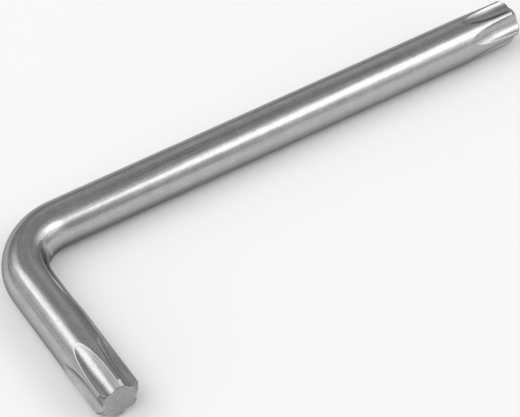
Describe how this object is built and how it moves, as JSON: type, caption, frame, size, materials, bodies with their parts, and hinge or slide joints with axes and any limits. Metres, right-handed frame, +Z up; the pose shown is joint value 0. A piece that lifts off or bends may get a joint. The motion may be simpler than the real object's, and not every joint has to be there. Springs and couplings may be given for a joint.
{
  "type": "star key",
  "caption": "L-shaped star key: a round plated steel bar bent square, with a fluted star drive on the end of each arm for turning screws that have a star recess.",
  "frame": {"origin": "centre of the key's footprint, on the surface that it lies on", "axes": "+X along the long arm towards its star, -Y along the short arm towards its star, +Z up from the surface"},
  "size_m": [0.1172, 0.0454, 0.0089],
  "materials": {
    "plated_steel": "satin nickel-chrome plating over hardened steel, with fine draw lines along the bar"
  },
  "bodies": {
    "root": {"long_star_tip": "plated_steel", "long_arm": "plated_steel", "bend": "plated_steel", "short_arm": "plated_steel", "short_star_tip": "plated_steel"}
  },
  "joints": []
}
